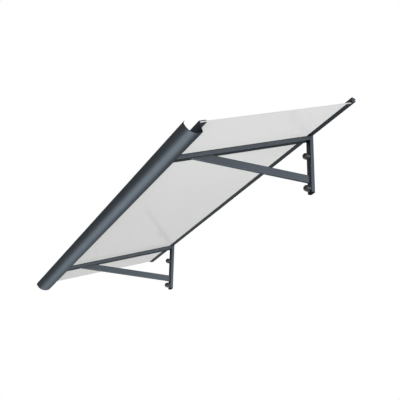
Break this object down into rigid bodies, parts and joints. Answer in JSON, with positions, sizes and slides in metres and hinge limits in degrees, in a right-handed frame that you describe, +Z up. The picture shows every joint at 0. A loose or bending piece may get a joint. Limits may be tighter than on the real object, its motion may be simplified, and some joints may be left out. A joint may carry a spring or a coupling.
{
  "type": "door canopy",
  "caption": "Lean-to door canopy: a flat opal sheet held between a wall bar and a front gutter profile, carried by triangular tube brackets that bolt to the wall.",
  "frame": {"origin": "on the wall, half way along the wall bar, at mid height of the bar's lower foot", "axes": "+X along the wall, +Y into the wall, so the sheet reaches out along -Y, and +Z up"},
  "size_m": [2.742, 0.8726, 0.3621],
  "materials": {
    "powder_coat": "anthracite powder coat, satin, on extruded aluminium",
    "opal_sheet": "light grey opal sheet, smooth",
    "black_plastic": "moulded, satin",
    "rubber": "extruded, matt",
    "zinc": "bright zinc plate",
    "stainless": "plain stainless steel"
  },
  "bodies": {
    "root": {"arm_insert_left": "black_plastic", "arm_insert_right": "black_plastic", "arm_left": "powder_coat", "arm_right": "powder_coat", "arm_strip_left": "rubber", "arm_strip_right": "rubber", "bar_end_cap_left": "powder_coat", "bar_end_cap_right": "powder_coat", "bar_screw_1": "stainless", "bar_screw_2": "stainless", "bar_screw_3": "stainless", "bar_screw_4": "stainless", "bar_screw_5": "stainless", "bolt_cap_left_lower": "black_plastic", "bolt_cap_left_upper": "black_plastic", "bolt_cap_right_lower": "black_plastic", "bolt_cap_right_upper": "black_plastic", "brace_left": "powder_coat", "brace_right": "powder_coat", "front_seal": "rubber", "gutter": "powder_coat", "gutter_screw_left_1": "stainless", "gutter_screw_left_2": "stainless", "gutter_screw_right_1": "stainless", "gutter_screw_right_2": "stainless", "panel": "opal_sheet", "post_left": "powder_coat", "post_plug_left": "black_plastic", "post_plug_right": "black_plastic", "post_right": "powder_coat", "rear_seal": "rubber", "wall_bar": "powder_coat", "wall_bolt_left_lower": "zinc", "wall_bolt_left_upper": "zinc", "wall_bolt_right_lower": "zinc", "wall_bolt_right_upper": "zinc", "washer_left_lower": "zinc", "washer_left_upper": "zinc", "washer_right_lower": "zinc", "washer_right_upper": "zinc"}
  },
  "joints": []
}
